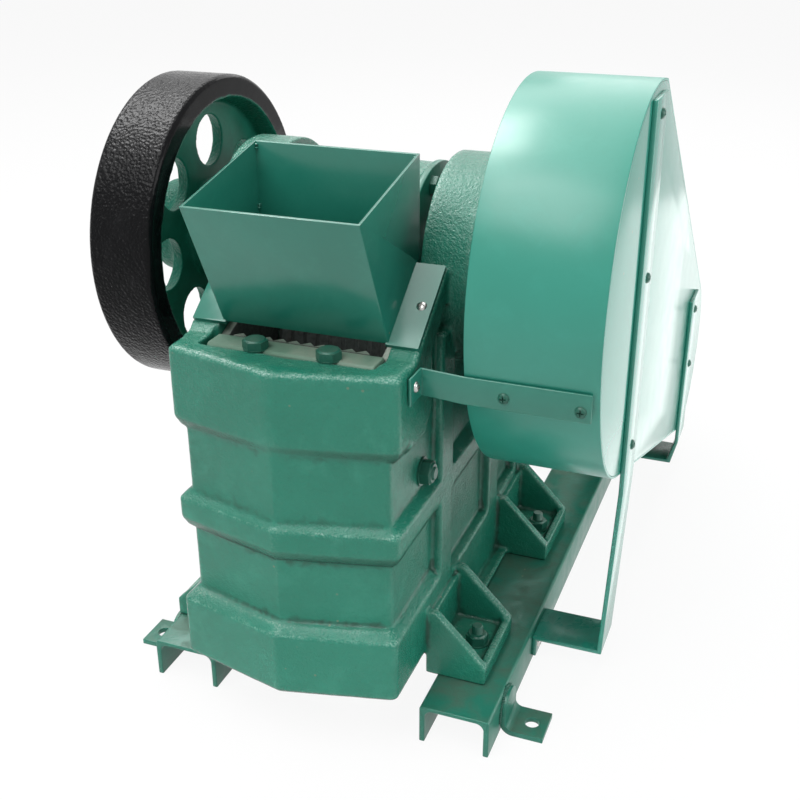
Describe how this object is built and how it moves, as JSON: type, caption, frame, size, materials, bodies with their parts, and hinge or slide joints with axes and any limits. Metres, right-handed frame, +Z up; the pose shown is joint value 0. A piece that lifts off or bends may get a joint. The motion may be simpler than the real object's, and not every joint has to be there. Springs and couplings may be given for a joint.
{
  "type": "jaw crusher",
  "caption": "Small bench jaw crusher on a channel base: ribbed cast frame, sheet feed hopper, swing jaw on a crank shaft with flywheel, guarded belt drive and rear motor.",
  "frame": {"origin": "on the ground, centre of the four anchor lug holes", "axes": "+Z up; +X along the crank shaft towards the belt guard; -Y is the front, where the feed hopper and the ribbed front wall are"},
  "size_m": [0.4585, 0.77, 0.544],
  "materials": {
    "base_paint": "gloss enamel",
    "belt_rubber": "matt",
    "casting_paint": "gloss enamel on rough casting",
    "flywheel_black": "black gloss on rough casting",
    "guard_paint": "gloss enamel on sheet",
    "hopper_paint": "gloss enamel on sheet",
    "jaw_steel": "as cast manganese steel",
    "motor_paint": "satin enamel",
    "pulley_iron": "turned",
    "steel": "machined"
  },
  "bodies": {
    "base": {"rail_left": "base_paint", "rail_right": "base_paint", "lug_front_left": "base_paint", "lug_front_right": "base_paint", "lug_rear_left": "base_paint", "lug_rear_right": "base_paint", "frame_front": "casting_paint", "frame_left": "casting_paint", "frame_right": "casting_paint", "frame_rear": "casting_paint", "foot_front_left": "casting_paint", "foot_front_right": "casting_paint", "foot_rear_left": "casting_paint", "foot_rear_right": "casting_paint", "bearing_left": "steel", "bearing_right": "steel", "cover_left": "casting_paint", "cover_right": "casting_paint", "fixed_jaw": "jaw_steel", "clamp_bar": "casting_paint", "cheek_left": "jaw_steel", "cheek_right": "jaw_steel", "toggle_seat": "jaw_steel", "toggle_plate": "jaw_steel", "tension_spring": "steel", "hopper": "hopper_paint", "guard_rim": "guard_paint", "guard_face": "guard_paint", "guard_bracket": "guard_paint", "guard_leg": "guard_paint", "guard_leg_rear": "guard_paint", "belt": "belt_rubber", "motor_base": "base_paint", "motor_body": "motor_paint", "motor_cowl": "motor_paint", "terminal_box": "motor_paint", "motor_pulley": "pulley_iron"},
    "crank": {"shaft": "steel", "flywheel": "flywheel_black", "drive_pulley": "pulley_iron"},
    "jaw": {"swing_jaw": "casting_paint", "swing_plate": "jaw_steel", "tension_rod": "steel", "jaw_cap_left": "casting_paint", "jaw_cap_right": "casting_paint"}
  },
  "joints": [
    {"name": "crank_spin", "type": "hinge", "parent": "base", "child": "crank", "pos_m": [-0.0095, -0.18, 0.386], "axis": [1, 0, 0], "continuous": true},
    {"name": "jaw_swing", "type": "hinge", "parent": "base", "child": "jaw", "pos_m": [-0.0095, -0.18, 0.386], "axis": [1, 0, 0], "range_deg": [-0.5, 0.5]}
  ]
}
